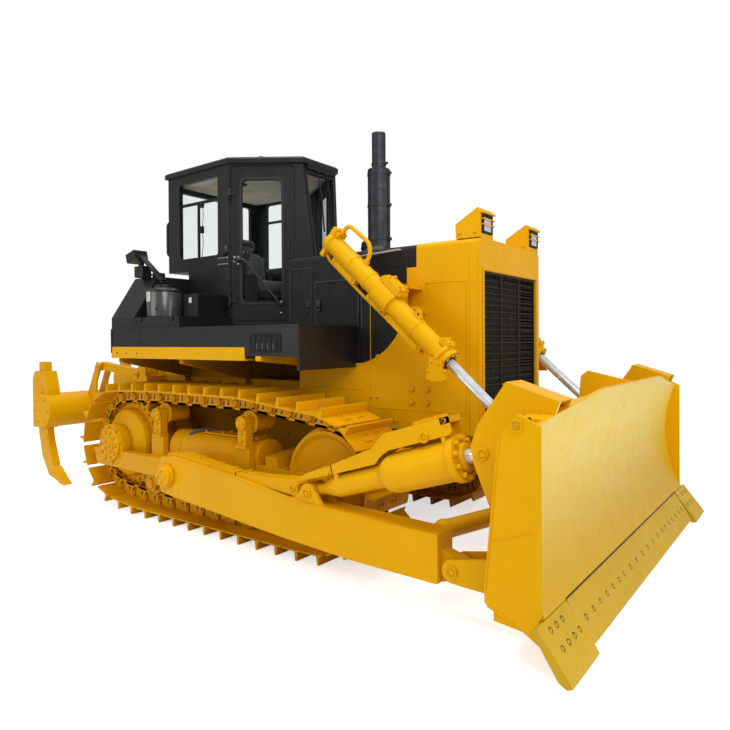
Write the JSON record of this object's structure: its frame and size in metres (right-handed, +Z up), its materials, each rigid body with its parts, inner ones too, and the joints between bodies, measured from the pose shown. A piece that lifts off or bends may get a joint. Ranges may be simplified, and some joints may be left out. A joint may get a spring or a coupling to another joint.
{
  "type": "crawler dozer with ripper",
  "caption": "Crawler dozer with a straight tilting blade on push arms, steel tracks, an enclosed angular cab and a rear parallelogram ripper.",
  "frame": {"origin": "middle of the machine's footprint, on the plane of the grouser tips", "axes": "+X forward, +Y to the operator's left, +Z up"},
  "size_m": [6.765, 3.724, 3.52],
  "materials": {
    "yellow_paint": "gloss paint",
    "black_paint": "satin paint",
    "grey_paint": "satin paint",
    "track_paint": "dusty satin paint",
    "chrome_rod": "polished",
    "cab_glass": "tinted",
    "seat_cloth": "matte",
    "console_plastic": "matte",
    "exhaust_steel": "dull"
  },
  "bodies": {
    "chassis": {"cab_glass": "cab_glass", "cab_shell": "black_paint", "carrier_rollers": "yellow_paint", "control_console": "console_plastic", "engine_block": "grey_paint", "engine_cover": "black_paint", "equaliser_bar": "yellow_paint", "exhaust_stack": "exhaust_steel", "fender_rails": "yellow_paint", "fenders": "black_paint", "final_drives": "yellow_paint", "front_frame": "yellow_paint", "front_pane": "cab_glass", "grab_rails": "black_paint", "headlamp_pods": "yellow_paint", "idlers": "yellow_paint", "lift_brackets": "yellow_paint", "main_frame": "yellow_paint", "operator_seat": "seat_cloth", "radiator_core": "grey_paint", "radiator_grille": "black_paint", "rear_tank": "black_paint", "ripper_bracket": "yellow_paint", "side_boxes": "black_paint", "sprockets": "track_paint", "track_frames": "yellow_paint", "track_left": "track_paint", "track_right": "track_paint", "track_rollers": "yellow_paint"},
    "trunnion_rings": {"trunnion_rings": "yellow_paint"},
    "push_arm_right": {"push_arm_right": "yellow_paint"},
    "push_arm_left": {"push_arm_left": "yellow_paint"},
    "blade": {"blade": "yellow_paint", "cutting_edge": "yellow_paint", "diagonal_strut": "yellow_paint"},
    "tilt_barrel": {"tilt_barrel": "yellow_paint"},
    "tilt_rod": {"tilt_rod": "chrome_rod"},
    "brace_left": {"brace_left": "yellow_paint"},
    "lift_yoke_right": {"lift_yoke_right": "yellow_paint"},
    "lift_yoke_left": {"lift_yoke_left": "yellow_paint"},
    "lift_barrel_right": {"lift_barrel_right": "yellow_paint"},
    "lift_barrel_left": {"lift_barrel_left": "yellow_paint"},
    "lift_rod_right": {"lift_rod_right": "chrome_rod"},
    "lift_rod_left": {"lift_rod_left": "chrome_rod"},
    "ripper_arm": {"ripper_arm": "yellow_paint"},
    "ripper_links": {"ripper_links": "yellow_paint"},
    "ripper_beam": {"ripper_beam": "yellow_paint", "ripper_shanks": "yellow_paint"},
    "ripper_barrels": {"ripper_barrels": "yellow_paint"},
    "ripper_rods": {"ripper_rods": "chrome_rod"},
    "door_right": {"door_right": "black_paint", "door_glass_right": "cab_glass"},
    "door_left": {"door_left": "black_paint", "door_glass_left": "cab_glass"}
  },
  "joints": [
    {"name": "blade_lift", "type": "hinge", "parent": "chassis", "child": "trunnion_rings", "pos_m": [-0.25, 0, 0.53], "axis": [0, -1, 0], "range_deg": [-9.6, 18.6]},
    {"name": "blade_tilt", "type": "hinge", "parent": "trunnion_rings", "child": "blade", "pos_m": [2.514, 0, 0.3], "axis": [0.89, -0.45, -0.074], "range_deg": [-6.16, 6.16]},
    {"name": "push_arm_right", "type": "hinge", "parent": "trunnion_rings", "child": "push_arm_right", "pos_m": [-0.25, 0, 0.53], "axis": [0, -1, 0], "range_deg": [-2.77, 2.77]},
    {"name": "push_arm_left", "type": "hinge", "parent": "trunnion_rings", "child": "push_arm_left", "pos_m": [-0.25, 0, 0.53], "axis": [0, -1, 0], "range_deg": [-2.77, 2.77]},
    {"name": "tilt_barrel", "type": "hinge", "parent": "push_arm_right", "child": "tilt_barrel", "pos_m": [1.35, -1.4, 0.6], "axis": [0.2581, -0.4802, -0.8383], "range_deg": [-3.21, 3.21]},
    {"name": "tilt_rod", "type": "slide", "parent": "tilt_barrel", "child": "tilt_rod", "axis": [0.9559, 0, 0.2937], "range_m": [-0.06099, 0.06099]},
    {"name": "brace_left", "type": "hinge", "parent": "push_arm_left", "child": "brace_left", "pos_m": [1.35, 1.4, 0.6], "axis": [0.2936, -0.011, -0.9559], "range_deg": [-2.82, 2.82]},
    {"name": "lift_yoke_right", "type": "hinge", "parent": "chassis", "child": "lift_yoke_right", "pos_m": [1.6, -0.69, 2], "axis": [0, 0, 1], "range_deg": [-3.72, 3.72]},
    {"name": "lift_barrel_right", "type": "hinge", "parent": "lift_yoke_right", "child": "lift_barrel_right", "pos_m": [1.6, -0.85, 2], "axis": [0, -1, 0], "range_deg": [-14.3, 27.7]},
    {"name": "lift_rod_right", "type": "slide", "parent": "lift_barrel_right", "child": "lift_rod_right", "axis": [0.7459, 0, -0.666], "range_m": [-0.70435, 0.36353]},
    {"name": "lift_yoke_left", "type": "hinge", "parent": "chassis", "child": "lift_yoke_left", "pos_m": [1.6, 0.69, 2], "axis": [0, 0, 1], "range_deg": [-3.26, 3.26]},
    {"name": "lift_barrel_left", "type": "hinge", "parent": "lift_yoke_left", "child": "lift_barrel_left", "pos_m": [1.6, 0.85, 2], "axis": [0, -1, 0], "range_deg": [-14.3, 27.7]},
    {"name": "lift_rod_left", "type": "slide", "parent": "lift_barrel_left", "child": "lift_rod_left", "axis": [0.7459, 0, -0.666], "range_m": [-0.70435, 0.36353]},
    {"name": "ripper_lift", "type": "hinge", "parent": "chassis", "child": "ripper_arm", "pos_m": [-2, 0, 0.62], "axis": [0, 1, 0], "range_deg": [-42, 38]},
    {"name": "ripper_links", "type": "hinge", "parent": "chassis", "child": "ripper_links", "pos_m": [-2, 0, 1.305], "axis": [0, 1, 0], "range_deg": [-42.02, 38.02]},
    {"name": "ripper_beam", "type": "hinge", "parent": "ripper_arm", "child": "ripper_beam", "pos_m": [-2.8, 0, 0.695], "axis": [0, 1, 0], "range_deg": [-38.02, 42.02]},
    {"name": "ripper_barrels", "type": "hinge", "parent": "chassis", "child": "ripper_barrels", "pos_m": [-1.7, 0, 1.67], "axis": [0, 1, 0], "range_deg": [-15.97, 14.45]},
    {"name": "ripper_rods", "type": "slide", "parent": "ripper_barrels", "child": "ripper_rods", "axis": [-0.7517, 0, -0.6595], "range_m": [-0.37159, 0.41071]},
    {"name": "door_right", "type": "hinge", "parent": "chassis", "child": "door_right", "pos_m": [-0.3719, -0.67668, 2.6], "axis": [0, 0, -1], "range_deg": [0, 100]},
    {"name": "door_left", "type": "hinge", "parent": "chassis", "child": "door_left", "pos_m": [-0.3719, 0.67668, 2.6], "axis": [0, 0, 1], "range_deg": [0, 100]}
  ],
  "couplings": [
    {"joint": "push_arm_right", "follows": "blade_tilt", "ratio": -0.44876},
    {"joint": "push_arm_left", "follows": "blade_tilt", "ratio": 0.44876},
    {"joint": "tilt_barrel", "follows": "blade_tilt", "ratio": 0.521},
    {"joint": "tilt_rod", "follows": "blade_tilt", "m_per_rad": -0.567},
    {"joint": "brace_left", "follows": "blade_tilt", "ratio": 0.458},
    {"joint": "lift_yoke_right", "follows": "blade_tilt", "ratio": -0.603},
    {"joint": "lift_barrel_right", "follows": "blade_lift", "ratio": 1.4885},
    {"joint": "lift_rod_right", "follows": "blade_lift", "m_per_rad": -2.1686},
    {"joint": "lift_yoke_left", "follows": "blade_tilt", "ratio": -0.529},
    {"joint": "lift_barrel_left", "follows": "blade_lift", "ratio": 1.4885},
    {"joint": "lift_rod_left", "follows": "blade_lift", "m_per_rad": -2.1686},
    {"joint": "ripper_links", "follows": "ripper_lift", "ratio": 1},
    {"joint": "ripper_beam", "follows": "ripper_lift", "ratio": -1},
    {"joint": "ripper_barrels", "follows": "ripper_lift", "ratio": 0.38},
    {"joint": "ripper_rods", "follows": "ripper_lift", "m_per_rad": -0.56}
  ]
}
